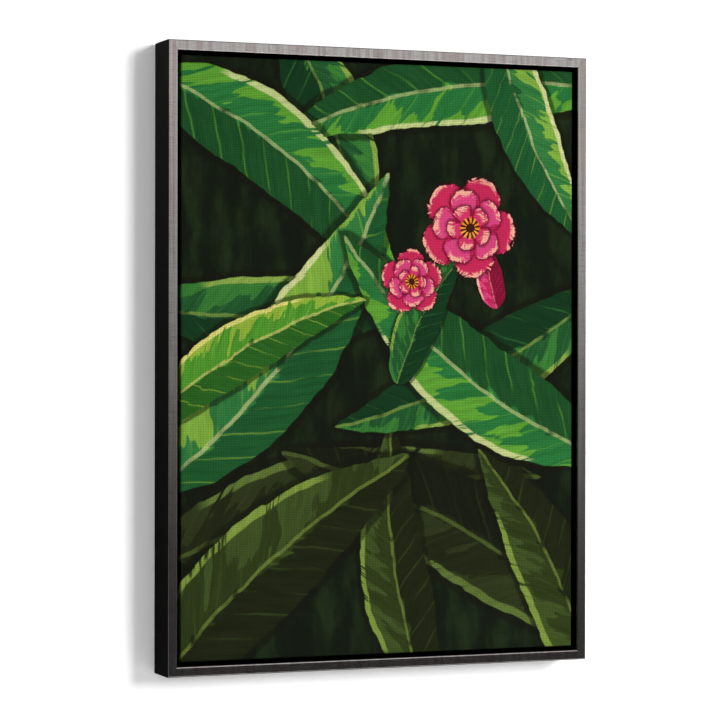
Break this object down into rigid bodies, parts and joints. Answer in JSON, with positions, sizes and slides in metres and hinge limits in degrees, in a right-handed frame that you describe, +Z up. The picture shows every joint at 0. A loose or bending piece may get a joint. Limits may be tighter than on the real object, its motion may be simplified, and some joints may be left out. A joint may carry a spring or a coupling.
{
  "type": "floater-framed canvas wall picture",
  "caption": "Portrait canvas print stretched over mitred pine bars with a cross brace, floating in a mitred L-section frame with a sawtooth hanger and wall bumpers behind.",
  "frame": {"origin": "where the wall nail sits, at the top of the middle notch of the sawtooth hanger", "axes": "+X to the viewer's right, +Y from the front towards the wall, +Z up"},
  "size_m": [0.533, 0.055, 0.733],
  "materials": {
    "frame_moulding": "brushed gunmetal foil on the narrow face, matt black lacquer on the sides and back",
    "pine": "planed, unfinished",
    "printed_canvas": "woven cotton canvas with a satin inkjet print, bare cream weave behind",
    "zinc_plated_steel": "bright zinc plating",
    "bright_steel": "plain drawn steel",
    "clear_rubber": "soft, milky"
  },
  "bodies": {
    "root": {"frame_rail_top": "frame_moulding", "frame_rail_right": "frame_moulding", "frame_rail_bottom": "frame_moulding", "frame_rail_left": "frame_moulding", "stretcher_bar_top": "pine", "stretcher_bar_right": "pine", "stretcher_bar_bottom": "pine", "stretcher_bar_left": "pine", "cross_brace": "pine", "canvas": "printed_canvas", "frame_screw_top_1": "zinc_plated_steel", "frame_screw_top_2": "zinc_plated_steel", "frame_screw_right_1": "zinc_plated_steel", "frame_screw_right_2": "zinc_plated_steel", "frame_screw_bottom_1": "zinc_plated_steel", "frame_screw_bottom_2": "zinc_plated_steel", "frame_screw_left_1": "zinc_plated_steel", "frame_screw_left_2": "zinc_plated_steel", "corner_nail_wall_top_right": "bright_steel", "corner_nail_wall_bottom_right": "bright_steel", "corner_nail_wall_bottom_left": "bright_steel", "corner_nail_wall_top_left": "bright_steel", "corner_nail_foot_top_right": "bright_steel", "corner_nail_foot_bottom_right": "bright_steel", "corner_nail_foot_bottom_left": "bright_steel", "corner_nail_foot_top_left": "bright_steel", "sawtooth_hanger": "zinc_plated_steel", "hanger_nail_left": "bright_steel", "hanger_nail_right": "bright_steel", "bumper_left": "clear_rubber", "bumper_right": "clear_rubber"}
  },
  "joints": []
}
